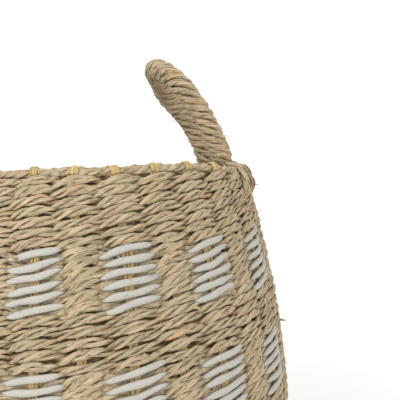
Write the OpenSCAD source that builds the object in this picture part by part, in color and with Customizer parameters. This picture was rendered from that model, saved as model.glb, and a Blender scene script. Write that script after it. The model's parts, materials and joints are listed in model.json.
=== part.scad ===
// Round-bellied seagrass storage basket, twined on upright stakes, with two rope loop handles.
// Millimetres, +Z up, origin at the centre of the underside, handles at +X and -X.
// The wall is worked out along one path that runs from the rim cord down the wall, round the
// bottom corner and along the base to its centre. A place is an arc length on that path and an
// offset from it: positive outwards (or under the base), negative inwards (or above the base).

/* [Basket shape] */
// Radius of the middle of the wall at the rim
rim_r = 165; // [140:1:200]
// How fast the wall widens just below the rim, in mm of radius per mm of depth
flare = 0.306; // [0.2:0.01:0.32]
// How the widening eases off with depth, times one million
bow_ppm = 509; // [450:1:560]
// Depth at which the belly starts to tuck in
tuck_start = 223; // [200:1:240]
// How strongly the belly tucks in, times one billion
tuck_ppb = 10285; // [8000:5:11000]
// Radius of the turn from the wall into the base
corner_r = 18; // [14:1:24]

/* [Weave] */
// Rows of twining in the wall
rows = 38; // [38:1:40]
// Height of one row along the wall
row_pitch = 9.95; // [9:0.05:10.5]
// Upright stakes around the basket, an even number
stakes_n = 28; // [24:4:32]
// Width of a stake, in degrees around the basket
stake_deg = 2.9; // [2:0.1:3.5]
// Thickness of a stake through the wall
stake_t = 3.6; // [3:0.1:4]
// Thickness of the runs in front of the stakes, and of those behind them
run_t = 5.4; // [5:0.1:6]
// Diameter of the smooth white cord
white_d = 5.3; // [4.5:0.1:5.3]
// Diameter of the rim cord
rim_cord_d = 7; // [6:0.1:7.4]
// Thickness of the binding that loops over the rim cord at each stake
rim_loop_t = 1.2; // [1:0.1:1.3]

/* [Pattern] */
// Rows of white blocks in one band
band_rows = 6; // [6:1:6]
// First row of the upper, middle and lower white band
band_1_first = 8; // [8:1:8]
band_2_first = 19; // [19:1:19]
band_3_first = 30; // [30:1:30]

/* [Handles] */
// Distance between the two legs of a handle, middle to middle
handle_w = 109; // [100:1:116]
// Radius of the wrapped rope
rope_r = 12.2; // [11:0.1:13]
// Radius of the rope's core
core_r = 8.6; // [7.5:0.1:9]
// Radius of the neck where the core passes over the rim
neck_r = 6.5; // [5.5:0.1:6.6]
// Height of the bending axis above the middle of the rim cord
hinge_rise = 13.2; // [13:0.1:15]
// Inward distance and drop from the bending axis to the foot of the leg
foot_in = 16.2; // [16:0.1:20]
foot_drop = 5.2; // [4:0.1:6]
// Inward lean of the lower legs and of the arch, in degrees from upright
leg_lean = 21.5; // [12:1:24]
arch_lean = 39.5; // [30:1:42]
// How much further out the left handle rests than the right one, in degrees
left_out = 26; // [0:1:30]
// Length of the straight lower leg, and of the straight part of the arch
leg_len = 49; // [40:1:60]
arch_straight = 20; // [6:1:26]
// Strands of the core that fan out over the rim at each root
tails_n = 5; // [3:2:5]
// Angle between neighbouring strands, in degrees around the basket
tail_step = 3.2; // [1.8:0.1:3.4]
// How far down the wall those strands reach
tail_len = 38; // [30:1:45]

/* [Hidden] */
$fn = 96;
gap = 0.15;
bow = bow_ppm / 1e6;
tuck = tuck_ppb / 1e9;
stake_step = 360 / stakes_n;
run_in = stake_t / 2 + gap;
run_out = run_in + run_t;
lobe_low = run_out - 1.2;
lobe_flat = 0.2;
base_mid = run_out;

// Radius of the wall's middle at a depth below the rim, and its rate of change
function wall_r(d) = rim_r + flare * d - bow * d * d - tuck * pow(max(0, d - tuck_start), 3);
function wall_slope(d) = flare - 2 * bow * d - 3 * tuck * pow(max(0, d - tuck_start), 2);

// Depth against arc length, in quarter rows
arc_step = row_pitch / 4;
wall_arc = (rows + 0.5) * row_pitch;
function depth_table(s, d) = s > wall_arc ? [[s, d]]
    : concat([[s, d]], depth_table(s + arc_step, d + arc_step / norm([1, wall_slope(d)])));
arc_to_depth = depth_table(0, 0);

// The turn into the base starts where the wall's path ends
turn_depth = lookup(wall_arc, arc_to_depth);
turn_start = -atan(wall_slope(turn_depth));
turn_arc = corner_r * (90 - turn_start) * PI / 180;
turn_r = wall_r(turn_depth) - corner_r * cos(turn_start);
turn_z = base_mid + corner_r;
rim_z = turn_z - corner_r * sin(turn_start) + turn_depth;
base_arc = wall_arc + turn_arc;
base_end = base_arc + turn_r - 24;

function wall_point(d, off) = let (m = wall_slope(d), c = norm([1, m]))
    [wall_r(d) + off / c, rim_z - d + off * m / c];
function turn_point(s, off) = let (a = turn_start + (s - wall_arc) / corner_r * 180 / PI)
    [turn_r + (corner_r + off) * cos(a), turn_z - (corner_r + off) * sin(a)];
function path_point(s, off) = s <= wall_arc ? wall_point(lookup(s, arc_to_depth), off)
    : s <= base_arc ? turn_point(s, off)
    : [turn_r - (s - base_arc), base_mid - off];

// Outer edge of a layer: each row has a flat-topped lobe
function row_lobes(first, last, side) = [for (k = [first:last], e = [-0.5, -lobe_flat, lobe_flat])
    path_point((k + e) * row_pitch, side * (e == -0.5 ? lobe_low : run_out))];
function row_backs(first, last, side) = [for (k = [last + 0.5:-1:first - 0.5])
    path_point(k * row_pitch, side * run_in)];

// One layer of woven rows: side 1 runs in front of the stakes, side -1 behind them
module layer_section(first, last, side) {
    polygon(concat(row_lobes(first, last, side),
        [path_point((last + 0.5) * row_pitch, side * lobe_low)],
        row_backs(first, last, side)));
}

module layer_ring(first, last, side) {
    rotate_extrude($fn = stakes_n * 4)
        layer_section(first, last, side);
}

// The turn into the base, on one side of the stakes
turn_points = [for (i = [0:4]) wall_arc + i / 4 * turn_arc];
module turn_ring(side) {
    rotate_extrude($fn = stakes_n * 4)
        polygon(concat([for (s = turn_points) path_point(s + gap, side * lobe_low)],
            [for (i = [4:-1:0]) path_point(turn_points[i] + gap, side * run_in)]));
}

// Blocks of rows that pass in front of every second stake
module block_rows(first, last, side) {
    block_deg = stake_step - 0.4;
    for (i = [0:2:stakes_n - 1])
        rotate([0, 0, (i + 0.5) * stake_step - block_deg / 2])
            rotate_extrude(angle = block_deg, $fn = stakes_n * 4)
                layer_section(first, last, side);
}

// White cord in front of the stakes in between, one short run for each row and block
module white_runs(first) {
    run_deg = stake_step - 0.6;
    for (i = [1:2:stakes_n - 1], k = [first:first + band_rows - 1]) {
        centre = path_point(k * row_pitch, run_in + gap + white_d / 2);
        rotate([0, 0, (i + 0.5) * stake_step - run_deg / 2])
            rotate_extrude(angle = run_deg, $fn = stakes_n * 4)
                translate(centre)
                    circle(d = white_d, $fn = 16);
    }
}

module stakes() {
    points = concat([for (k = [0.5:rows + 0.5]) k * row_pitch],
        [for (i = [1:3]) wall_arc + i / 3 * turn_arc], [base_end]);
    last = len(points) - 1;
    color([0.78, 0.66, 0.42])
        for (i = [0:stakes_n - 1])
            rotate([0, 0, (i + 0.5) * stake_step - stake_deg / 2])
                rotate_extrude(angle = stake_deg, $fn = stakes_n * 4)
                    polygon(concat([for (s = points) path_point(s, stake_t / 2)],
                        [for (j = [last:-1:0]) path_point(points[j], -stake_t / 2)]));
}

module rim_cord() {
    color([0.66, 0.58, 0.45])
        rotate_extrude()
            translate([rim_r, rim_z])
                circle(d = rim_cord_d);
}

module rim_loops() {
    inner = rim_cord_d / 2 + 0.1;
    color([0.78, 0.66, 0.42])
        for (i = [0:stakes_n - 1])
            rotate([0, 0, (i + 0.5) * stake_step - stake_deg / 2])
                rotate_extrude(angle = stake_deg)
                    translate([rim_r, rim_z])
                        difference() {
                            circle(inner + rim_loop_t);
                            circle(inner);
                        }
}

module front_upper() { color([0.66, 0.58, 0.45]) layer_ring(1, band_1_first - 1, 1); }
module back_upper() { color([0.6, 0.53, 0.4]) layer_ring(1, band_1_first - 1, -1); }
module front_band_1() { color([0.66, 0.58, 0.45]) band_front(band_1_first); }
module back_band_1() { color([0.6, 0.53, 0.4]) band_back(band_1_first); }
module white_band_1() { color([0.85, 0.84, 0.8]) white_runs(band_1_first); }
module front_middle_1() { color([0.66, 0.58, 0.45]) between(band_1_first, band_2_first, 1); }
module back_middle_1() { color([0.6, 0.53, 0.4]) between(band_1_first, band_2_first, -1); }
module front_band_2() { color([0.66, 0.58, 0.45]) band_front(band_2_first); }
module back_band_2() { color([0.6, 0.53, 0.4]) band_back(band_2_first); }
module white_band_2() { color([0.85, 0.84, 0.8]) white_runs(band_2_first); }
module front_middle_2() { color([0.66, 0.58, 0.45]) between(band_2_first, band_3_first, 1); }
module back_middle_2() { color([0.6, 0.53, 0.4]) between(band_2_first, band_3_first, -1); }
module front_band_3() { color([0.66, 0.58, 0.45]) band_front(band_3_first); }
module back_band_3() { color([0.6, 0.53, 0.4]) band_back(band_3_first); }
module white_band_3() { color([0.85, 0.84, 0.8]) white_runs(band_3_first); }
module front_lower() { color([0.66, 0.58, 0.45]) layer_ring(band_3_first + band_rows, rows, 1); }
module back_lower() { color([0.6, 0.53, 0.4]) layer_ring(band_3_first + band_rows, rows, -1); }

module band_front(first) { block_rows(first, first + band_rows - 1, 1); }
module band_back(first) { layer_ring(first, first + band_rows - 1, -1); }
module between(first, next, side) { layer_ring(first + band_rows, next - 1, side); }

module base_corner_outer() { color([0.66, 0.58, 0.45]) turn_ring(1); }
module base_corner_inner() { color([0.6, 0.53, 0.4]) turn_ring(-1); }

// Rows of twining under and over the spoke part of the stakes
base_rows = floor((base_end - base_arc) / row_pitch) - 1;
module base_section(side) {
    start = base_arc + 2 * gap;
    ends = [0, 0.5 - lobe_flat, 0.5 + lobe_flat];
    polygon(concat(
        [for (k = [0:base_rows - 1], e = ends)
            path_point(start + (k + e) * row_pitch, side * (e == 0 ? lobe_low : run_out))],
        [path_point(start + base_rows * row_pitch, side * lobe_low)],
        [path_point(start + base_rows * row_pitch, side * run_in), path_point(start, side * run_in)]));
}
module base_under() { color([0.66, 0.58, 0.45]) rotate_extrude() base_section(1); }
module base_over() { color([0.6, 0.53, 0.4]) rotate_extrude() base_section(-1); }
module base_centre() {
    centre_r = turn_r - (base_end - base_arc) - gap;
    color([0.62, 0.55, 0.42])
        translate([0, 0, base_mid - run_in])
            cylinder(r = centre_r, h = 2 * run_in);
}

// One handle, drawn at +X around its bending axis. The other is its mirror image, bent outwards
root_deg = 1.5 * stake_step;
hinge_x = sqrt(rim_r * rim_r - handle_w * handle_w / 4);
hinge_z = rim_z + hinge_rise;
foot = [-foot_in, 0, -foot_drop];
elbow = foot + leg_len * [-sin(leg_lean), 0, cos(leg_lean)];
elbow_turn = arch_lean - leg_lean;
mitre = tan(elbow_turn / 2);
neck_len = norm([foot_in, foot_drop]);
neck_turn = leg_lean + 90 - atan(foot_drop / foot_in);
sleeve_start = 9.6;

// The rope is drawn with its arch upright and its origin at the arch's centre
module at_foot() {
    for (s = [-1, 1])
        translate([0, s * handle_w / 2, -arch_straight])
            rotate([0, elbow_turn, 0])
                translate([0, 0, -leg_len])
                    children();
}

module rope(r, start) {
    at_foot()
        translate([0, 0, start])
            cylinder(r = r, h = leg_len - start + r * mitre);
    for (s = [-1, 1])
        translate([0, s * handle_w / 2, -arch_straight])
            cylinder(r = r, h = arch_straight);
    rotate([0, -90, 0])
        rotate([0, 0, -90])
            rotate_extrude(angle = 180)
                translate([handle_w / 2, 0])
                    circle(r);
}

module core() {
    rope(core_r, 0);
    at_foot() {
        sphere(core_r + 0.3);
        rotate([0, neck_turn, 0])
            cylinder(r = neck_r, h = neck_len);
        rotate([0, neck_turn, 0])
            translate([0, 0, neck_len])
                sphere(neck_r + 0.5);
    }
}

module wrap() {
    difference() {
        rope(rope_r, sleeve_start);
        rope(core_r + 0.2, sleeve_start - 1);
    }
}

module place_handle(side) {
    mirror([side < 0 ? 1 : 0, 0, 0])
        translate([hinge_x, 0, hinge_z])
            rotate([0, side < 0 ? left_out : 0, 0])
                translate(elbow)
                    rotate([0, -arch_lean, 0])
                        translate([0, 0, arch_straight])
                            children();
}

// Core strands that come out over the rim and lie down the outside of the wall
module root_strands(side) {
    inner = run_out + 0.3;
    strand_t = 3.6;
    over = 52;
    strand_deg = 1.5;
    downs = [for (i = [0:4]) i / 4 * tail_len];
    mirror([side < 0 ? 1 : 0, 0, 0])
        for (root = [-root_deg, root_deg], i = [0:tails_n - 1])
            rotate([0, 0, root + (i - (tails_n - 1) / 2) * tail_step - strand_deg / 2])
                rotate_extrude(angle = strand_deg)
                    polygon(concat(
                        [for (a = [over:-13:13]) [rim_r, rim_z] + (inner + strand_t) * [cos(a), sin(a)]],
                        [for (s = downs) path_point(s, inner + strand_t)],
                        [for (j = [4:-1:0]) path_point(downs[j], inner)],
                        [for (a = [13:13:over]) [rim_r, rim_z] + inner * [cos(a), sin(a)]]));
}

module handle_right_core() { color([0.6, 0.52, 0.38]) place_handle(1) core(); }
module handle_right_wrap() { color([0.66, 0.59, 0.46]) place_handle(1) wrap(); }
module handle_right_roots() { color([0.64, 0.57, 0.44]) root_strands(1); }
module handle_left_core() { color([0.6, 0.52, 0.38]) place_handle(-1) core(); }
module handle_left_wrap() { color([0.66, 0.59, 0.46]) place_handle(-1) wrap(); }
module handle_left_roots() { color([0.64, 0.57, 0.44]) root_strands(-1); }

stakes();
rim_cord();
rim_loops();
front_upper();
back_upper();
front_band_1();
back_band_1();
white_band_1();
front_middle_1();
back_middle_1();
front_band_2();
back_band_2();
white_band_2();
front_middle_2();
back_middle_2();
front_band_3();
back_band_3();
white_band_3();
front_lower();
back_lower();
base_corner_outer();
base_corner_inner();
base_under();
base_over();
base_centre();
handle_right_core();
handle_right_wrap();
handle_right_roots();
handle_left_core();
handle_left_wrap();
handle_left_roots();
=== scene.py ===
"""Seagrass storage basket: twined strands on straw stakes, with rope loop handles.

Lengths in this script are millimetres, scaled to metres when a mesh is made. The wall is one
path, as in the CAD: a place is an arc length down from the rim, an offset outwards from the
middle of the wall, and an angle counted from +X towards +Y.
"""

import json
import math

import bpy
import numpy as np
from mathutils import Matrix, Vector


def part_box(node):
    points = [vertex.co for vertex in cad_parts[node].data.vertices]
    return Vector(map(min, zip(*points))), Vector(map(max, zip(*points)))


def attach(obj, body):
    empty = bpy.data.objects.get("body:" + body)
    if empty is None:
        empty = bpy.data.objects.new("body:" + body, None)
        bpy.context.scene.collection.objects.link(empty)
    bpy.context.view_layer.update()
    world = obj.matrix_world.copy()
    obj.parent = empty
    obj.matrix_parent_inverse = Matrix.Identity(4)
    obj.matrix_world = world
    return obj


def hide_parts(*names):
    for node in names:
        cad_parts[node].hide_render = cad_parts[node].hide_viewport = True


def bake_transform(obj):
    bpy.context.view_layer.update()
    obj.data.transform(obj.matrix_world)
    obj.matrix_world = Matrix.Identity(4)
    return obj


MM = 0.001
TAU = 2 * math.pi

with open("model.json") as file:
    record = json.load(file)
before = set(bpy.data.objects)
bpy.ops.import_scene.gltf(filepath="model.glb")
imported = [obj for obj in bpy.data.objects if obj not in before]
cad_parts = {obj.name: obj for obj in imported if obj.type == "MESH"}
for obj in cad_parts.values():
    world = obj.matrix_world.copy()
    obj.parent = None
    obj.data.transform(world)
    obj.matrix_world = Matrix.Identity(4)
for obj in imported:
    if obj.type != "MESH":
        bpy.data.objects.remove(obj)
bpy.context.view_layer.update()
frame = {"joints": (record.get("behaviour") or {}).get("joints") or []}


# ---------------------------------------------------------------- sizes from the frame


def box_mm(node):
    """A CAD node's lowest and highest corner, in millimetres."""
    low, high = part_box(node)
    return np.array(low) / MM, np.array(high) / MM


rim_low, rim_high = box_mm("rim_cord")
centre_low, centre_high = box_mm("base_centre")
RIM_Z = (rim_low[2] + rim_high[2]) / 2
RIM_CORD = (rim_high[2] - rim_low[2]) / 2
RIM_R = rim_high[0] - RIM_CORD
BASE_Z = (centre_low[2] + centre_high[2]) / 2
CENTRE_R = centre_high[0]
HINGE = {j["child"]: np.array(j["pos_m"]) / MM for j in frame["joints"]}
# The handles are alike, but one rests further out, so it has less way left to go outwards
FURTHEST = max(j["range_deg"][1] for j in frame["joints"])
RESTS_OUT = {j["child"]: math.radians(FURTHEST - j["range_deg"][1]) for j in frame["joints"]}

# The wall's profile, as in the CAD
FLARE, BOW, TUCK, TUCK_START = 0.306, 509e-6, 10285e-9, 223
CORNER_R = 18
ROW = 9.95
WALL_ROWS = 38
STAKES = 28
STEP = TAU / STAKES
BANDS = (8, 19, 30)
BAND_ROWS = 6
HANDLE_W = 109


def wall_r(depth):
    return RIM_R + FLARE * depth - BOW * depth**2 - TUCK * np.maximum(0, depth - TUCK_START) ** 3


def wall_slope(depth):
    return FLARE - 2 * BOW * depth - 3 * TUCK * np.maximum(0, depth - TUCK_START) ** 2


DEPTHS = np.linspace(-40, 400, 1761)
arc_steps = np.hypot(1, wall_slope((DEPTHS[1:] + DEPTHS[:-1]) / 2)) * np.diff(DEPTHS)
ARCS = np.concatenate([[0], np.cumsum(arc_steps)])
ARCS -= np.interp(0, DEPTHS, ARCS)
WALL_ARC = (WALL_ROWS + 0.5) * ROW
TURN_DEPTH = float(np.interp(WALL_ARC, ARCS, DEPTHS))
TURN_START = -math.atan(wall_slope(TURN_DEPTH))
TURN_ARC = CORNER_R * (math.pi / 2 - TURN_START)
TURN_R = wall_r(TURN_DEPTH) - CORNER_R * math.cos(TURN_START)
TURN_Z = BASE_Z + CORNER_R
BASE_ARC = WALL_ARC + TURN_ARC


def section(arc):
    """Radius, height, and the outward normal's two parts, at arc lengths down the path."""
    arc = np.asarray(arc, float)
    depth = np.interp(np.minimum(arc, WALL_ARC), ARCS, DEPTHS)
    slope = wall_slope(depth)
    c = np.hypot(1, slope)
    turn = TURN_START + (np.clip(arc, WALL_ARC, BASE_ARC) - WALL_ARC) / CORNER_R
    past = np.maximum(arc - BASE_ARC, 0)
    on_wall = arc <= WALL_ARC
    r = np.where(on_wall, wall_r(depth), TURN_R + CORNER_R * np.cos(turn) - past)
    z = np.where(on_wall, RIM_Z - depth, TURN_Z - CORNER_R * np.sin(turn))
    nr = np.where(on_wall, 1 / c, np.cos(turn))
    nz = np.where(on_wall, slope / c, -np.sin(turn))
    return r, z, nr, nz


def ease(t):
    """Runs from 0 to 1 with t, and starts and ends level."""
    return t * t * (3 - 2 * t)


LEAN = math.radians(2.1)
LEAN_END = 100  # arc length at which the stakes have all of their lean


def lean(arc):
    """The stakes lean a little on their way down from the rim, in radians."""
    return LEAN * ease(np.clip(np.asarray(arc, float) / LEAN_END, 0, 1))


def place(arc, off, angle):
    """Points and outward normals at arc length, offset and angle."""
    r, z, nr, nz = section(arc)
    ca, sa = np.cos(angle), np.sin(angle)
    flat = r + off * nr
    points = np.stack([flat * ca, flat * sa, z + off * nz], axis=-1)
    normals = np.stack([nr * ca, nr * sa, nz + 0 * ca], axis=-1)
    return points, normals


# ---------------------------------------------------------------- strands


def unit(v):
    return v / np.maximum(np.linalg.norm(v, axis=-1, keepdims=True), 1e-9)


def tangents(path, closed):
    if closed:
        return unit(np.roll(path, -1, 0) - np.roll(path, 1, 0))
    return unit(np.gradient(path, axis=0))


def axes(path, normal, closed):
    """Unit vectors at each point of a path: along it, out along the normal, and sideways."""
    t = tangents(path, closed)
    e1 = unit(normal - (normal * t).sum(1, keepdims=True) * t)
    return t, e1, np.cross(t, e1)


def lengths(path, closed):
    """Length along the path at each of its points, and the whole length."""
    steps = np.linalg.norm(np.diff(path, axis=0, append=path[:1]), axis=1)
    whole = steps.sum() if closed else steps[:-1].sum()
    return np.concatenate([[0], np.cumsum(steps[:-1])]), whole


def ripple(rng, t, waves, size):
    """A smooth random wave of t, where t runs once from 0 to 1 and may close on itself."""
    total = np.zeros_like(t)
    for n in waves:
        total += rng.normal() * np.cos(TAU * n * t + rng.uniform(0, TAU))
    return total * size / math.sqrt(len(waves))


UNSHADED = (-1.0, 0.0)  # shade distances that paint no shade on a piece: it shows at its lightest all over


class Strands:
    """Collects swept strands, then makes one mesh piece of them."""

    def __init__(self):
        self.points, self.quads, self.tris = [], [], []
        self.strand, self.tone, self.depth = [], [], []
        self.count = 0

    def sweep(self, path, normal, half_n, half_s, tone, sides=8, closed=False, lobes=None,
              lift=9.0):
        """A tube along path. half_n and half_s are its half sizes along the normal and beside it.
        lift is how far the path lies from the middle of the wall or rope that it is part of. With
        the tube's size it sets the painted shade: a point is painted darker the nearer it lies to
        that middle, deep in the weave. As it stands it is well out in the open, where little or no
        shade is painted."""
        n = len(path)
        _, e1, e2 = axes(path, normal, closed)
        psi = np.arange(sides) * TAU / sides
        shape = np.ones((n, sides)) if lobes is None else lobes(psi[None, :])
        a = shape * np.cos(psi)[None, :] * np.broadcast_to(half_n, n)[:, None]
        b = shape * np.sin(psi)[None, :] * np.broadcast_to(half_s, n)[:, None]
        ring = path[:, None] + a[..., None] * e1[:, None] + b[..., None] * e2[:, None]
        along, _ = lengths(path, closed)
        depth = np.abs(np.broadcast_to(lift, n)[:, None] + a)
        facts = np.stack(
            [
                np.broadcast_to(along[:, None], (n, sides)),
                np.broadcast_to(np.cos(psi)[None, :], (n, sides)),
                np.broadcast_to(np.sin(psi)[None, :], (n, sides)),
            ],
            axis=-1,
        )
        rows = n if closed else n - 1
        i = np.arange(rows)[:, None]
        j = np.arange(sides)[None, :]
        i2, j2 = (i + 1) % n, (j + 1) % sides
        quads = np.stack([i * sides + j, i * sides + j2, i2 * sides + j2, i2 * sides + j], -1)
        self.points.append(ring.reshape(-1, 3))
        self.strand.append(facts.reshape(-1, 3))
        self.depth.append(depth.ravel())
        self.quads.append(quads.reshape(-1, 4) + self.count)
        added = n * sides
        if not closed:
            ends = np.stack([path[0], path[-1]])
            self.points.append(ends)
            self.strand.append(np.array([[0, 0, 0], [along[-1], 0, 0]], float))
            self.depth.append(depth[[0, -1]].mean(1))
            k = np.arange(sides)
            k2 = (k + 1) % sides
            first = np.stack([np.full(sides, added), k2, k], -1)
            base = (n - 1) * sides
            last = np.stack([np.full(sides, added + 1), base + k, base + k2], -1)
            self.tris.append(np.concatenate([first, last]) + self.count)
            added += 2
        self.tone.append(np.full(added, tone))
        self.count += added

    def cord(self, path, normal, rng, size, offset, lay, plies=2, closed=False, squeeze=1.0,
             sides=8, tones=(0, 1), ends=0.0, lift=9.0):
        """A twisted cord: plies wound round the path. size and offset are (normal, sideways)."""
        _, e1, e2 = axes(path, normal, closed)
        along, whole = lengths(path, closed)
        share = along / whole
        turns = max(1, round(whole / lay)) if closed else whole / lay
        wander = ripple(rng, share, range(2, 9), 0.5) if closed else 0.0
        start = rng.uniform(0, TAU)
        squeeze = np.broadcast_to(squeeze, len(path))
        taper = np.ones(len(path))
        if ends:
            taper = np.clip(np.minimum(along, whole - along) / ends, 0.15, 1) ** 0.5
        for ply in range(plies):
            twist = start + TAU * (turns * share + ply / plies) + wander
            bulge = 1 + 0.3 * np.cos(twist) ** 2
            swell = 1 + ripple(rng, share, range(6, max(7, int(whole / 24)), 5), 0.13)
            out = offset[0] * np.cos(twist) * (2 - squeeze) * taper
            side = -offset[1] * np.sin(twist) * squeeze * taper
            centre = path + out[:, None] * e1 + side[:, None] * e2
            p2, p3 = rng.uniform(0, TAU, 2)
            roll = TAU * along / rng.uniform(70, 130)

            def lobes(psi, roll=roll, p2=p2, p3=p3):
                return (
                    1
                    + 0.12 * np.cos(2 * psi + p2 + roll[:, None])
                    + 0.11 * np.cos(3 * psi + p3 - roll[:, None] * 1.7)
                )

            self.sweep(
                centre,
                normal,
                size[0] * swell * (2 - squeeze) ** 0.5 * taper,
                size[1] * swell * bulge * squeeze * taper,
                rng.uniform(*tones),
                sides,
                closed,
                lobes,
                # the ply's distance from the middle of the wall or rope sets its painted shade
                lift + out,
            )

    def piece(self, name, material, slot, replaced=(), body="basket", painted_shade_depths=(0.2, 4.6),
              smooth=False):
        """The mesh piece, riding on its body. Its colour has painted shade: the two shade
        distances from the middle of the wall or rope are where a point is painted darkest and
        lightest, so the weave is painted darker deep in its recesses. Leaves and straws have flat
        faces, and paper cord is smooth."""
        points = np.concatenate(self.points) * MM
        quads = np.concatenate(self.quads)
        tris = np.concatenate(self.tris) if self.tris else np.zeros((0, 3), int)
        corners = np.concatenate([quads.ravel(), tris.ravel()]).astype(np.int32)
        starts = np.concatenate(
            [np.arange(len(quads)) * 4, len(quads) * 4 + np.arange(len(tris)) * 3]
        ).astype(np.int32)
        mesh = bpy.data.meshes.new(name)
        mesh.vertices.add(len(points))
        mesh.vertices.foreach_set("co", points.astype(np.float32).ravel())
        mesh.loops.add(len(corners))
        mesh.loops.foreach_set("vertex_index", corners)
        mesh.polygons.add(len(starts))
        mesh.polygons.foreach_set("loop_start", starts)
        mesh.polygons.foreach_set("use_smooth", np.full(len(starts), smooth))
        strand = mesh.attributes.new("strand", "FLOAT_VECTOR", "POINT")
        strand.data.foreach_set("vector", np.concatenate(self.strand).astype(np.float32).ravel())
        tone = mesh.attributes.new("tone", "FLOAT", "POINT")
        tone.data.foreach_set("value", np.concatenate(self.tone).astype(np.float32))
        # Painted shade: 0 at the darkest, 1 at the lightest, by distance from the middle of the
        # wall or rope
        depth = np.concatenate(self.depth)
        shown = (depth - painted_shade_depths[0]) / (painted_shade_depths[1] - painted_shade_depths[0])
        painted_crevice_light = mesh.attributes.new("painted_crevice_light", "FLOAT", "POINT")
        painted_crevice_light.data.foreach_set("value", np.clip(shown, 0, 1).astype(np.float32))
        mesh.materials.append(material)
        mesh.update(calc_edges=True)
        made = bpy.data.objects.new(name, mesh)
        bpy.context.scene.collection.objects.link(made)
        if replaced:
            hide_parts(*replaced)
        if body:
            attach(made, body)
        return made


# ---------------------------------------------------------------- materials


class Nodes:
    """Builds a material's node tree in few words."""

    def __init__(self, name, roughness):
        self.material = bpy.data.materials.new(name)
        self.material.use_nodes = True
        self.tree = self.material.node_tree
        self.shader = self.tree.nodes["Principled BSDF"]
        self.shader.inputs["Roughness"].default_value = roughness
        self.shader.inputs["Specular IOR Level"].default_value = 0.25

    def add(self, kind, _out=0, **inputs):
        """A node's output, its inputs set or linked. p_ starts the name of a property, and i0 or
        i1 is an input by number."""
        node = self.tree.nodes.new(kind)
        for key, value in inputs.items():
            if key.startswith("p_"):
                setattr(node, key[2:], value)
        for key, value in inputs.items():
            if key.startswith("p_"):
                continue
            name = key.replace("_", " ")
            socket = node.inputs[int(key[1:])] if key[1:].isdigit() else node.inputs[name]
            if isinstance(value, bpy.types.NodeSocket):
                self.tree.links.new(value, socket)
            else:
                socket.default_value = value
        return node.outputs[_out]

    def number(self, name):
        """A number that the mesh holds at each point."""
        return self.add("ShaderNodeAttribute", _out=2, p_attribute_name=name)

    def maths(self, operation, a, b=0.0):
        return self.add("ShaderNodeMath", p_operation=operation, i0=a, i1=b)

    def mix(self, share, a, b, blend="MIX"):
        node = self.tree.nodes.new("ShaderNodeMix")
        node.data_type = "RGBA"
        node.blend_type = blend
        for socket, value in ((node.inputs[0], share), (node.inputs[6], a), (node.inputs[7], b)):
            if isinstance(value, bpy.types.NodeSocket):
                self.tree.links.new(value, socket)
            else:
                socket.default_value = value
        return node.outputs[2]

    def ramp(self, value, stops):
        node = self.tree.nodes.new("ShaderNodeValToRGB")
        elements = node.color_ramp.elements
        while len(elements) < len(stops):
            elements.new(0.5)
        for element, (position, colour) in zip(elements, stops):
            element.position = position
            element.color = (*colour, 1)
        self.tree.links.new(value, node.inputs[0])
        return node.outputs[0]

    def strand_noise(self, along, around, shift, scale, detail=3.0, roughness=0.55):
        """Noise drawn out along the strand; shift moves it from one strand to the next."""
        strand = self.add("ShaderNodeAttribute", _out=1, p_attribute_name="strand")
        stretched = self.add(
            "ShaderNodeVectorMath", p_operation="MULTIPLY", i0=strand, i1=(along, around, around)
        )
        apart = self.maths("MULTIPLY", self.number("tone"), shift)
        moved = self.add("ShaderNodeCombineXYZ", X=apart)
        where = self.add("ShaderNodeVectorMath", p_operation="ADD", i0=stretched, i1=moved)
        return self.add(
            "ShaderNodeTexNoise", Vector=where, Scale=scale, Detail=detail, Roughness=roughness
        )

    def finish(self, colour, height, distance):
        self.tree.links.new(colour, self.shader.inputs["Base Color"])
        bump = self.add("ShaderNodeBump", Strength=1.0, Distance=distance, Height=height)
        self.tree.links.new(bump, self.shader.inputs["Normal"])
        return self.material


def seagrass(name, stops, depth=0.00055, patch=0.02):
    """Dry leaves twisted into cords: broad changes of hue, and fine streaks along the leaf. Thin
    dark lines are painted shade in the creases between leaves, and the weave is painted darker
    deep in its recesses.
    """
    n = Nodes(name, 0.72)
    leaf = n.strand_noise(along=patch, around=0.5, shift=613.0, scale=1.6, detail=2.0)
    streak = n.strand_noise(along=0.035, around=1.15, shift=271.0, scale=1.9, roughness=0.6)
    fine = n.strand_noise(along=0.11, around=3.4, shift=97.0, scale=2.2, roughness=0.6)
    tone = n.maths("MULTIPLY", n.number("tone"), 0.3)
    hue = n.maths("ADD", tone, n.maths("MULTIPLY", leaf, 0.75))
    colour = n.ramp(hue, stops)
    grain = n.maths("ADD", n.maths("MULTIPLY", streak, 0.65), n.maths("MULTIPLY", fine, 0.35))
    shade = n.ramp(grain, [(0.34, (0.62, 0.57, 0.50)), (0.50, (0.95, 0.94, 0.92)),
                           (0.66, (1.10, 1.10, 1.10))])
    # Thin dark lines of painted shade, in the creases between leaves; they also raise the bump
    crease_noise = n.strand_noise(along=0.022, around=0.62, shift=149.0, scale=2.1, detail=1.0,
                           roughness=0.4)
    edge = n.ramp(
        n.maths("ABSOLUTE", n.maths("SUBTRACT", crease_noise, 0.5)),
        [(0.0, (0.36, 0.30, 0.22)), (0.012, (0.55, 0.49, 0.41)), (0.035, (1.0, 1.0, 1.0))],
    )
    # Painted shade, darker where a point lies deep in the weave or rope
    painted_crevice_shade = n.ramp(
        n.number("painted_crevice_light"),
        [(0.0, (0.16, 0.12, 0.055)), (0.35, (0.60, 0.54, 0.44)), (0.75, (1.0, 1.0, 1.0))],
    )
    leaf_shade = n.mix(1.0, shade, edge, "MULTIPLY")
    shaded = n.mix(1.0, n.mix(1.0, colour, leaf_shade, "MULTIPLY"), painted_crevice_shade, "MULTIPLY")
    height = n.maths("ADD", grain, n.maths("MULTIPLY", edge, 0.35))
    return n.finish(shaded, height, depth)


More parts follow.
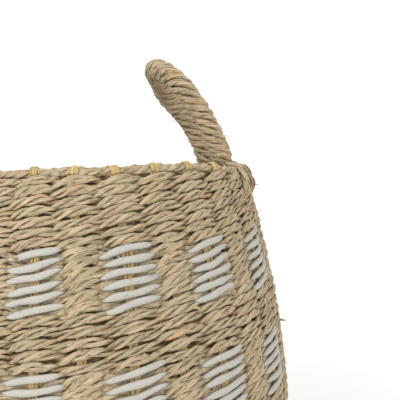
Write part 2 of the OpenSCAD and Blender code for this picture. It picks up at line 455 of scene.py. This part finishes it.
GRASS_STOPS = [
    (0.22, (0.41, 0.36, 0.22)),
    (0.38, (0.49, 0.42, 0.27)),
    (0.52, (0.55, 0.45, 0.30)),
    (0.66, (0.58, 0.46, 0.31)),
    (0.71, (0.61, 0.46, 0.28)),
    (0.78, (0.62, 0.33, 0.17)),
]
ROPE_STOPS = [
    (0.22, (0.39, 0.345, 0.21)),
    (0.40, (0.485, 0.41, 0.27)),
    (0.55, (0.54, 0.445, 0.29)),
    (0.68, (0.58, 0.44, 0.30)),
    (0.76, (0.62, 0.40, 0.19)),
    (0.86, (0.67, 0.33, 0.15)),
]
CORE_STOPS = [(0.25, (0.24, 0.20, 0.12)), (0.55, (0.36, 0.29, 0.18)), (0.8, (0.42, 0.32, 0.20))]
STRAW_STOPS = [
    (0.25, (0.47, 0.34, 0.15)),
    (0.50, (0.60, 0.44, 0.20)),
    (0.75, (0.67, 0.51, 0.26)),
]


def white_paper(name):
    """Smooth off-white twisted paper cord with faint grey flecks, painted darker where it lies
    deep in the weave, as shade.
    """
    n = Nodes(name, 0.8)
    fleck = n.strand_noise(along=0.35, around=2.2, shift=53.0, scale=1.8, roughness=0.6)
    twist = n.strand_noise(along=0.06, around=0.9, shift=29.0, scale=1.5, detail=1.0)
    colour = n.ramp(fleck, [(0.30, (0.36, 0.345, 0.29)), (0.46, (0.49, 0.47, 0.42)),
                            (0.66, (0.55, 0.53, 0.475))])
    # Painted shade, darker where the cord lies deep in the weave
    painted_crevice_shade = n.ramp(
        n.number("painted_crevice_light"),
        [(0.0, (0.12, 0.10, 0.07)), (0.4, (0.40, 0.37, 0.32)), (0.7, (1.0, 1.0, 1.0))],
    )
    height = n.maths("ADD", n.maths("MULTIPLY", fleck, 0.4), twist)
    return n.finish(n.mix(1.0, colour, painted_crevice_shade, "MULTIPLY"), height, 0.00025)


grass = seagrass("seagrass_leaf", GRASS_STOPS)
rope_leaf = seagrass("seagrass_rope", ROPE_STOPS, 0.0006, 0.04)
rope_heart = seagrass("seagrass_core", CORE_STOPS)
straw = seagrass("palm_straw", STRAW_STOPS, 0.0003)
white = white_paper("white_paper")


# ---------------------------------------------------------------- the weave

FRONT = 4.0  # offset of a strand where it passes in front of a stake
BASE_FRONT = 3.4  # the same on the base, which stands on the floor
RISE = 2.4  # how far a strand climbs and falls between stakes
BAND_RISE = 3.1  # the same for a natural strand in a white band
WHITE_RISE = 4.3  # the same for a white strand
STRAIGHTEN = -0.08  # makes the climb in front of a stake straighter
LONG_RUN = 0.33  # makes white runs longer than a stake's spacing, and those between shorter
PLY = (1.85, 2.15)  # half sizes of one ply in a cord of two
PLY_OFFSET = (1.1, 2.5)  # how far a ply lies from its cord's middle, outwards and sideways
THIN_PLY = (1.55, 1.75)  # the same in a cord of three
THIN_OFFSET = (1.35, 3.0)
THIN_SHARE = 0.7  # share of the strands that are cords of three
WHITE_SIZE = (2.45, 3.4)  # half sizes of a white cord
LAY = 50  # length over which a cord's plies turn once
BACK_DROP = 4.3  # how much lower a natural strand lies behind a stake than in front of one
BEHIND_WHITE = 0.5  # how far back a natural strand goes behind a white run, as a share
RIM_DIP = 8.0  # sets how far the rim sinks between the handles, on the left of the middle
ROOT_DIP = 9.5  # how far a handle's root pulls the rim down
ROOT_DIP_REACH = 0.5  # how far round from the root that fades, in radians
ROOT_ANGLE = math.asin(HANDLE_W / 2 / RIM_R)
OPEN_SHARE = 0.11  # share of the stakes that a row leaves open to view
RING_STEP = 3.1  # distance between the points of a strand's path
SPARSE_R = 62  # nearer the middle of the base, a strand passes two stakes at a time
STEADY_R = 120  # nearer the middle of the base, strands wander less to the side

weave_rng = np.random.default_rng(3101)
SWAY_STARTS = weave_rng.uniform(0, TAU, 6)[:3]


def sway(angle, arc):
    """The rows rise and fall together a little round the basket."""
    return (
        0.9 * np.sin(2 * angle + 0.013 * arc + SWAY_STARTS[0])
        + 0.8 * np.sin(5 * angle - 0.021 * arc + SWAY_STARTS[1])
        + 0.6 * np.sin(9 * angle + 0.045 * arc + SWAY_STARTS[2])
    )


def beyond_root(angle):
    """How far round from the nearest root of a handle, less than zero between its two legs."""
    return np.arcsin(np.abs(np.sin(angle))) - ROOT_ANGLE


def dip(angle, arc):
    """How far the rim sags, most at the handles' roots, and the rows above the first band less."""
    share = np.sin(angle) ** 2 * (0.5 - 0.5 * np.cos(angle))
    pulled = ROOT_DIP * np.exp(-((beyond_root(angle) / ROOT_DIP_REACH) ** 2))
    return (RIM_DIP * share + pulled) * np.clip(1 - np.asarray(arc) / (BANDS[0] * ROW), 0, 1)


def row_path(row, strand, rng, banded=False):
    """One strand of one row, once round: points, normals, how hard it is squeezed, and offset."""
    arc0 = row * ROW
    r0 = float(section(arc0)[0])
    per_stake = 1 if r0 > SPARSE_R else 0.5
    count = max(64, int(TAU * r0 / RING_STEP))
    turn = np.arange(count) / count
    u = turn * STAKES * per_stake
    phase = math.pi * (u - 0.5 - strand)
    white_run = banded and strand == 1
    if banded:
        phase = phase - (LONG_RUN if white_run else -LONG_RUN) * np.sin(phase)
    c = np.cos(phase)
    jitter = ripple(rng, turn, range(3, 40, 3), math.radians(0.45))
    angle = turn * TAU + lean(arc0) + jitter * min(1, r0 / STEADY_R)
    front = FRONT if arc0 < WALL_ARC else BASE_FRONT
    if banded and not white_run:
        off = np.where(c < 0, BEHIND_WHITE, 1.0) * front * c
    else:
        off = front * (1.12 * c - 0.12 * c**3)
    off = off + ripple(rng, turn, range(6, 40, 4), 0.22)
    climb = WHITE_RISE if white_run else BAND_RISE if banded else RISE
    rise = climb * (np.sin(phase) + STRAIGHTEN * np.sin(3 * phase))
    arc = arc0 - rise + sway(angle, arc0) + dip(angle, arc0)
    if not white_run:
        drop = BACK_DROP * min(1, 0.35 * row)
        arc = arc + drop * ((1 - c) / 2 - 1 / 8)
    open_here = (rng.random(STAKES) < OPEN_SHARE)[np.floor(u).astype(int) % STAKES]
    opened = np.where(open_here & (c > 0), np.exp(-(((u % 1 - 0.5) / 0.25) ** 2)), 0.0)
    arc = arc + ripple(rng, turn, range(2, 30, 3), 0.8 if white_run else 0.45) + 1.5 * opened
    points, normals = place(arc, off, angle)
    pinch = 0.4 if white_run else 0.0 if banded else 0.15
    squeeze = 1 - pinch * (1 - np.abs(c)) ** 1.5 + 0.24 * np.clip(-c, 0, 1)
    if banded and not white_run:
        squeeze = squeeze * (1.16 + 0.1 * (1 - np.abs(c)))
    if not white_run:
        squeeze = squeeze * (1 - 0.25 * opened)
    return points, normals, squeeze, off


def weave(rows, rng, strands=(0, 1), banded=False):
    """Natural strands of these rows. In a white band only the first strand is natural."""
    made = Strands()
    for row in rows:
        for strand in strands:
            points, normals, squeeze, off = row_path(row, strand, rng, banded)
            thin = rng.random() < THIN_SHARE
            # The offset sets the painted shade from here on; in a band, the natural strand's
            # passes behind the white runs take the front offset, as if out in front, so they are
            # painted as lightly as the front passes
            if banded:
                off = np.where(off < 0, FRONT, off)
            made.cord(points, normals, rng, THIN_PLY if thin else PLY,
                      THIN_OFFSET if thin else PLY_OFFSET, LAY * rng.uniform(0.85, 1.2),
                      plies=3 if thin else 2, closed=True, squeeze=squeeze, tones=(0.1, 0.9),
                      lift=off)
    return made


def white_strands(rows, rng):
    """The white cords of a band, one to a row."""
    made = Strands()
    for row in rows:
        points, normals, squeeze, off = row_path(row, 1, rng, True)
        along, whole = lengths(points, True)
        swell = 1 + ripple(rng, along / whole, range(8, 60, 5), 0.08)
        # The offset from the wall's middle sets the painted shade on the white cord
        made.sweep(points, normals, WHITE_SIZE[0] * swell, WHITE_SIZE[1] * swell * squeeze,
                   rng.uniform(), sides=12, closed=True, lift=off)
    return made


zones = [("upper", range(1, BANDS[0]))]
for band, first in enumerate(BANDS, 1):
    last = first + BAND_ROWS
    zones.append((f"band_{band}", range(first, last)))
    following = BANDS[band] if band < len(BANDS) else WALL_ROWS + 1
    zones.append((f"middle_{band}" if band < len(BANDS) else "lower", range(last, following)))

for zone, rows in zones:
    if zone.startswith("band"):
        weave(rows, weave_rng, (0,), True).piece(
            f"weave_{zone}", grass, "seagrass", (f"front_{zone}", f"back_{zone}")
        )
        white_strands(rows, weave_rng).piece(
            f"white_cords_{zone[-1]}", white, "white_cord", (f"white_{zone}",), smooth=True
        )
    else:
        for strand, side in enumerate(("front", "back")):
            weave(rows, weave_rng, (strand,)).piece(
                f"weave_{zone}_{side}", grass, "seagrass", (f"{side}_{zone}",)
            )

base_end = BASE_ARC + TURN_R - CENTRE_R
flat_row = math.ceil(BASE_ARC / ROW)
weave(range(WALL_ROWS + 1, flat_row), weave_rng).piece(
    "weave_corner", grass, "seagrass", ("base_corner_outer", "base_corner_inner")
)
for strand, side in enumerate(("under", "over")):
    weave(range(flat_row, int(base_end / ROW) + 1), weave_rng, (strand,)).piece(
        f"weave_base_{side}", grass, "seagrass", (f"base_{side}",)
    )


# ---------------------------------------------------------------- stakes, rim and base centre

stake_rng = np.random.default_rng(77)
STRAW_WIDTH = 3.0  # distance between the straws of a stake
RIM_LAY = 34  # length over which the rim cord's plies turn once
BARE_RIM = (-0.1, 0.26)  # how far round from a root no straw loops over the rim, in radians


def stake_angles(rng):
    """The angle of each stake, none of them quite in its place."""
    return (np.arange(STAKES) + 0.5) * STEP + rng.normal(0, math.radians(0.25), STAKES)


def stakes():
    """Three straws side by side, from the rim down the wall and in under the base."""
    made = Strands()
    arcs = np.arange(5, base_end + 6, 7.0)
    for angle0 in stake_angles(stake_rng):
        for straw_at in (-1, 0, 1):
            r, *_ = section(arcs)
            share = arcs / arcs[-1]
            spread = np.minimum(STRAW_WIDTH / r, STEP / 3.3)
            wobble = ripple(stake_rng, share, range(2, 14, 2), 0.35) / r
            angle = angle0 + lean(arcs) + straw_at * spread + wobble
            off = 0.7 * (arcs < WALL_ARC) + ripple(stake_rng, share, range(2, 12, 2), 0.25)
            points, normals = place(arcs, off, angle)
            made.sweep(points, normals, 1.45, np.minimum(1.65, r * STEP / 7), stake_rng.uniform())
    return made


def rim_arc(angle):
    """How far down the path the rim cord's middle lies."""
    return 0.7 + sway(angle, 0) * 0.7 + dip(angle, 0)


def rim_cord():
    """The thicker cord that finishes the top edge."""
    made = Strands()
    count = int(TAU * RIM_R / 2.6)
    turn = np.arange(count) / count
    angle = turn * TAU
    arc = rim_arc(angle) + ripple(stake_rng, turn, range(3, 40, 3), 0.35)
    points, normals = place(arc, ripple(stake_rng, turn, range(3, 30, 3), 0.3), angle)
    made.cord(points, normals, stake_rng, size=(1.9, 1.9), offset=(2.1, 2.2), lay=RIM_LAY,
              plies=3, closed=True, tones=(0.1, 0.8))
    return made


def rim_loops():
    """Straws that come up from a stake, turn over the rim cord and go down again.

    Where a handle's strands cross the rim, they hold it in place of the straws.
    """
    made = Strands()
    reach = RIM_CORD + 1.5
    for angle0 in stake_angles(stake_rng):
        tip = stake_rng.normal(0, 0.3)
        if BARE_RIM[0] < float(beyond_root(angle0)) < BARE_RIM[1]:
            continue
        for straw_at in (-1, 1):
            size = reach + stake_rng.uniform(-0.1, 0.5)
            half = np.radians(np.linspace(-52, 232, 21))
            off = size * np.cos(half)
            up = size * np.sin(half)
            low = up < -2.5
            off = np.where(low, off * 0.72, off)
            lift = -up + rim_arc(angle0) + tip
            shift = straw_at * 1.9 + 0.9 * np.sin(half) * stake_rng.uniform(-1, 1)
            angle = angle0 + shift / RIM_R
            points, normals = place(lift, off, np.broadcast_to(angle, off.shape))
            middle, _ = place(rim_arc(angle0) + tip, 0.0, angle0)
            outward = unit(points - middle[None, :])
            made.sweep(points, outward, 1.05, 2.15, stake_rng.uniform())
    return made


def base_centre():
    """The stakes' ends cross in the middle, held by two turns of cord."""
    made = Strands()
    turns, start = 2.6, CENTRE_R + 1
    t = np.linspace(0, 1, 150)
    angle = TAU * turns * t
    r = start - (start - 3.5) * t
    points = np.stack([r * np.cos(angle), r * np.sin(angle), BASE_Z + 1.2 + 0 * t], -1)
    up = np.broadcast_to(np.array([0.0, 0.0, 1.0]), points.shape)
    made.cord(points, up, stake_rng, size=(1.7, 2.2), offset=(0.9, 2.0), lay=30, ends=12)
    return made


CROSS_STEP = 4.2  # distance between the straws that cross in the middle of the base


def base_cross():
    """Two layers of straws that cross under the coil."""
    made = Strands()
    up = np.array([[0.0, 0.0, 1.0]])
    for layer, heading in enumerate((0.2, 0.2 + math.pi / 2)):
        for k in range(-4, 5):
            beside = k * CROSS_STEP
            t = np.linspace(-1, 1, 9) * math.sqrt(max(1, (CENTRE_R + 3) ** 2 - beside**2))
            x = t * math.cos(heading) - beside * math.sin(heading)
            y = t * math.sin(heading) + beside * math.cos(heading)
            z = BASE_Z - 1.6 - 2.0 * layer + stake_rng.normal(0, 0.15) + 0 * t
            made.sweep(np.stack([x, y, z], -1), np.repeat(up, 9, 0), 1.1, 1.8,
                       stake_rng.uniform())
    return made


stakes().piece("stakes_straw", straw, "stake_straw", ("stakes",), painted_shade_depths=UNSHADED)
rim_cord().piece("rim_cord_twisted", grass, "seagrass", ("rim_cord",))
rim_loops().piece("rim_loops_straw", straw, "stake_straw", ("rim_loops",))
base_centre().piece("base_centre_coil", grass, "seagrass", ("base_centre",))
base_cross().piece("base_cross_straw", straw, "stake_straw")


# ---------------------------------------------------------------- handles

FOOT_IN, FOOT_DROP = 16.2, 5.2  # where a leg's foot is: inwards of the bending axis, and below it
# The sheet that a handle lies in leans more with height, up to where the arch ends
TILT, TILT_GAIN, TILT_HEIGHT, TILT_POWER = 18.9, 26.1, 112, 1.1
TILT_END = 140
HINGE_RISE = HINGE["handle_right"][2] - RIM_Z
HINGE_X = HINGE["handle_right"][0]
LEG_STRAIGHT = 67.8  # leg from its foot to the start of the arch
LEG_BOW = 6.5  # how far the leg at +Y bows in towards the basket's middle
LEG_BOW_AT, LEG_BOW_SPREAD = 90, 28  # the height where it does, and how far up and down that fades
ARCH_R = HANDLE_W / 2
ROPE_STRANDS = 5
ROPE_LAY = 50  # length over which the rope's strands turn once
ROPE_R = 12.2  # as in the CAD
STRAND_HALF = 3.6
SLEEVE_START = -14.0  # the wrap starts this far below the foot
LOOSE_ENDS = 12  # leaf ends that stand off a rope
# The rope bends between these two places, counted outwards and upwards from its bending axis
BEND_START = (6.5, -7.0)
BEND_END = {"handle_right": (-11.0, 3.0), "handle_left": (-11.0, 8.0)}


def handle_sheet(height):
    """The handle leans in on a curved sheet: place and outward normal at a height along it."""
    h = np.linspace(-20, 150, 681)
    leaning = TILT_GAIN * (np.clip(h, 0, TILT_END) / TILT_HEIGHT) ** TILT_POWER
    tilt = np.radians(TILT + leaning)
    dx = np.concatenate([[0], np.cumsum(-np.sin(tilt[:-1]) * np.diff(h))])
    dz = np.concatenate([[0], np.cumsum(np.cos(tilt[:-1]) * np.diff(h))])
    x = HINGE_X - FOOT_IN + np.interp(height, h, dx) - np.interp(0, h, dx)
    z = RIM_Z + HINGE_RISE - FOOT_DROP + np.interp(height, h, dz) - np.interp(0, h, dz)
    a = np.interp(height, h, tilt)
    return x, z, np.cos(a), np.sin(a)


def rope_line(step, start=0.0):
    """The rope's middle line from one foot over the arch to the other, with its normals."""
    leg = LEG_STRAIGHT - start
    whole = 2 * leg + math.pi * ARCH_R
    s = np.linspace(0, whole, int(whole / step))
    turn = np.clip((s - leg) / ARCH_R, 0, math.pi)
    height = np.where(s < leg, start + s, np.where(s > whole - leg, start + whole - s,
                      LEG_STRAIGHT + ARCH_R * np.sin(turn)))
    y = -ARCH_R * np.cos(turn)
    x, z, nx, nz = handle_sheet(height)
    bowed = np.exp(-(((height - LEG_BOW_AT) / LEG_BOW_SPREAD) ** 2))
    x = x - LEG_BOW * np.clip(y / ARCH_R, 0, 1) * bowed
    return np.stack([x, y, z], -1), np.stack([nx, 0 * nx, nz], -1)


def rope(rng):
    """Strands laid round the rope's middle line."""
    made = Strands()
    path, normal = rope_line(1.7, SLEEVE_START)
    t, e1, e2 = axes(path, normal, False)
    along, whole = lengths(path, False)
    share = along / whole
    laid = -TAU * along / ROPE_LAY + ripple(rng, share, range(1, 9), 0.25)
    girth = 0.75 + 0.25 * np.clip(np.minimum(along, whole - along) / 14, 0, 1)
    for k in range(ROPE_STRANDS):
        angle = laid + k * TAU / ROPE_STRANDS
        radial = np.cos(angle)[:, None] * e1 + np.sin(angle)[:, None] * e2
        reach = (ROPE_R - STRAND_HALF) * girth + ripple(rng, share, range(6, 40, 3), 0.45)
        # The strand's distance from the rope's middle sets its painted shade, darker deep between
        # the strands
        made.cord(path + reach[:, None] * radial, radial, rng, (2.0, 2.05), (1.5, 1.6),
                  rng.uniform(45, 70), plies=3, ends=7, lift=reach)
    for at in rng.uniform(0.08, 0.92, LOOSE_ENDS):
        i = int(at * len(path))
        out = unit(e1[i] * rng.normal() + e2[i] * rng.normal())
        bend = np.linspace(0, math.pi * rng.uniform(0.6, 1.1), 9)[:, None]
        hair = rng.uniform(3, 5)
        curl = path[i] + out * (ROPE_R - 1 + hair * np.sin(bend)) + t[i] * hair * np.cos(bend)
        # lift 20 keeps painted shade off the loose ends
        made.sweep(curl, np.repeat(e2[i:i + 1], 9, 0), 0.16, 0.22, rng.uniform(), sides=5, lift=20)
    return made


def rope_core():
    """The rope's heart, seen only between its strands."""
    made = Strands()
    path, normal = rope_line(5.0, SLEEVE_START + 3)
    made.sweep(path, normal, 6.6, 6.6, 0.4, sides=12)
    return made


def smooth_curve(points, count):
    """A smooth curve through the points, evenly spaced in parameter."""
    points = np.array(points, float)
    padded = np.concatenate([[2 * points[0] - points[1]], points, [2 * points[-1] - points[-2]]])
    out = []
    spans = len(points) - 1
    for q in np.linspace(0, spans - 1e-6, count):
        i = int(q)
        t = q - i
        p0, p1, p2, p3 = padded[i:i + 4]
        out.append(0.5 * (2 * p1 + (p2 - p0) * t + (2 * p0 - 5 * p1 + 4 * p2 - p3) * t**2
                          + (3 * p1 - p0 - 3 * p2 + p3) * t**3))
    return np.array(out)


ROOT_TAILS = 5
ROOT_FAN = math.radians(18)  # angle round the basket that a root's tails spread over
# Where a tail passes: arc length down from the rim, offset, and how far the fan has opened
ROOT_COURSE = ((-22, -12, 0.3), (-12, -8, 0.45), (-6, -0.5, 0.6), (-2, 6, 0.75),
               (4, 8.0, 0.85), (11, 9.4, 0.95), (19, 10, 1.0), (27, 8, 1.0), (34, 3, 0.95),
               (40, -0.5, 0.9))


def roots(rng):
    """The rope's strands open out at each foot, pass over the rim and tuck in outside."""
    made = Strands()
    for leg in (-1, 1):
        root_angle = ROOT_ANGLE * leg
        for k in range(ROOT_TAILS):
            spread = (k - (ROOT_TAILS - 1) / 2) / (ROOT_TAILS - 1)
            under = 2.0 * (k % 2)
            reach = rng.uniform(0.86, 1.04)
            course = [
                place(arc * (reach if arc > 0 else 1) + float(dip(root_angle, max(arc, 0))),
                      off - under * wide, root_angle + spread * ROOT_FAN * wide)[0]
                for arc, off, wide in ROOT_COURSE
            ]
            path = smooth_curve(course, 52)
            middle = np.array([RIM_R * math.cos(root_angle), leg * ARCH_R, RIM_Z - 14])
            # lift 1.5 paints shade on the sides of each tail, facing its neighbours, and leaves
            # the outer crest light
            made.cord(path, unit(path - middle), rng, (1.9, 2.0), (1.2, 1.6),
                      rng.uniform(30, 44), ends=5, tones=(0.1, 0.8), lift=1.5)
    return made


def at_side(made, body):
    """Mirror to the other side and bend outwards about the axis, for the handle that rests so."""
    side = math.copysign(1, HINGE[body][0])
    axis = np.array([HINGE_X, RIM_Z + HINGE_RISE])
    start, end = np.array(BEND_START), np.array(BEND_END[body])
    line = end - start
    for points in made.points:
        off = points[:, [0, 2]] - axis
        t = np.clip((off - start) @ line / (line @ line), 0, 1)
        angle = RESTS_OUT[body] * ease(t)
        c, s = np.cos(angle), np.sin(angle)
        points[:, 0] = side * (axis[0] + off[:, 0] * c + off[:, 1] * s)
        points[:, 2] = axis[1] - off[:, 0] * s + off[:, 1] * c
    if side < 0:
        made.quads = [faces[:, ::-1] for faces in made.quads]
        made.tris = [faces[:, ::-1] for faces in made.tris]
    return made


for body, hinge in HINGE.items():
    side = math.copysign(1, hinge[0])
    handle_rng = np.random.default_rng(500 + int(side))
    # The rope is painted darkest 6 mm from its middle and lightest from 10.5 mm out: painted shade
    # deep between its strands
    laid_rope = at_side(rope(handle_rng), body).piece(
        f"{body}_rope", rope_leaf, "rope_wrap", (f"{body}_wrap",), body=None, painted_shade_depths=(6.0, 10.5)
    )
    heart = at_side(rope_core(), body).piece(
        f"{body}_heart", rope_heart, "rope_core", (f"{body}_core",), body=None
    )
    tails = at_side(roots(handle_rng), body).piece(
        f"{body}_tails", rope_leaf, "rope_core", (f"{body}_roots",), body=None
    )
    for made in (laid_rope, heart, tails):
        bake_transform(made)


# ---------------------------------------------------------------- stray fibres


STRAY_FIBRES = 260
BROAD_EVERY = 4  # one in so many is broad


def stray_fibres(rng):
    """Frayed ends of leaves that stand off the wall, some of them broad and curled."""
    made = Strands()
    for number in range(STRAY_FIBRES):
        broad = number % BROAD_EVERY == 0
        arc = rng.uniform(5, WALL_ARC)
        angle = rng.uniform(0, TAU)
        reach = rng.uniform(5, 11) if broad else rng.uniform(2.5, 9)
        drift = rng.uniform(-8, 8)
        drop = rng.uniform(-6, 6)
        t = np.linspace(0, 1, 9)
        r = float(section(arc)[0])
        points, normals = place(arc + drop * t**1.5, 5.0 + reach * t, angle + drift * t / r)
        size = (rng.uniform(0.7, 1.3) if broad else rng.uniform(0.16, 0.32)) * (1 - 0.8 * t**2)
        made.sweep(points, normals, size * 0.6, size * 1.9, rng.uniform(), sides=6)
    return made


stray_fibres(np.random.default_rng(9)).piece("stray_fibres", grass, "seagrass")


# ---------------------------------------------------------------- camera, floor and light

# The camera stands level with the rim, close to the wall, and looks a little to the right
scene = bpy.context.scene
camera_data = bpy.data.cameras.new("camera")
camera = bpy.data.objects.new("camera", camera_data)
scene.collection.objects.link(camera)
scene.camera = camera
camera_data.sensor_width = 36
camera_data.lens = 62.2
camera_data.clip_start = 0.01
yaw, pitch, roll = math.radians(8.6), math.radians(-2.9), math.radians(-1.7)
EYE_BACK, EYE_DROP = 4.91, 0.011  # in rim radii: out from the basket's middle, and below the rim
forward = Vector((math.sin(yaw) * math.cos(pitch), math.cos(yaw) * math.cos(pitch),
                  math.sin(pitch)))
flat_right = forward.cross(Vector((0, 0, 1))).normalized()
flat_up = flat_right.cross(forward)
right = flat_right * math.cos(roll) + flat_up * math.sin(roll)
up = flat_up * math.cos(roll) - flat_right * math.sin(roll)
eye = Vector((0, -EYE_BACK * RIM_R, RIM_Z - EYE_DROP * RIM_R)) * MM
camera.matrix_world = Matrix.Translation(eye) @ Matrix(
    (
        (right.x, up.x, -forward.x),
        (right.y, up.y, -forward.y),
        (right.z, up.z, -forward.z),
    )
).to_4x4()

FLOOR = 6.0  # half its width, in metres
floor_mesh = bpy.data.meshes.new("floor")
floor_mesh.from_pydata(
    [(-FLOOR, -FLOOR, 0), (FLOOR, -FLOOR, 0), (FLOOR, FLOOR, 0), (-FLOOR, FLOOR, 0)],
    [], [(0, 1, 2, 3)],
)
floor = bpy.data.objects.new("floor", floor_mesh)
scene.collection.objects.link(floor)
floor_nodes = Nodes("floor_paint", 0.9)
floor_nodes.shader.inputs["Base Color"].default_value = (0.97, 0.97, 0.97, 1)
floor_nodes.shader.inputs["Specular IOR Level"].default_value = 0.0
floor_mesh.materials.append(floor_nodes.material)

world = bpy.data.worlds.new("studio")
scene.world = world
world.use_nodes = True
world.node_tree.nodes["Background"].inputs["Color"].default_value = (1, 1, 1, 1)
world.node_tree.nodes["Background"].inputs["Strength"].default_value = 1.05


def softbox(name, place_m, aim_m, size, power):
    """A square area lamp aimed at a point."""
    lamp = bpy.data.lights.new(name, "AREA")
    lamp.size = size
    lamp.energy = power
    made = bpy.data.objects.new(name, lamp)
    scene.collection.objects.link(made)
    made.location = place_m
    aim = Vector(aim_m) - Vector(place_m)
    made.rotation_euler = aim.to_track_quat("-Z", "Y").to_euler()


softbox("key", (-1.7, -1.6, 2.0), (0, 0, 0.3), 1.0, 28)

scene.view_settings.view_transform = "Standard"
scene.view_settings.look = "None"
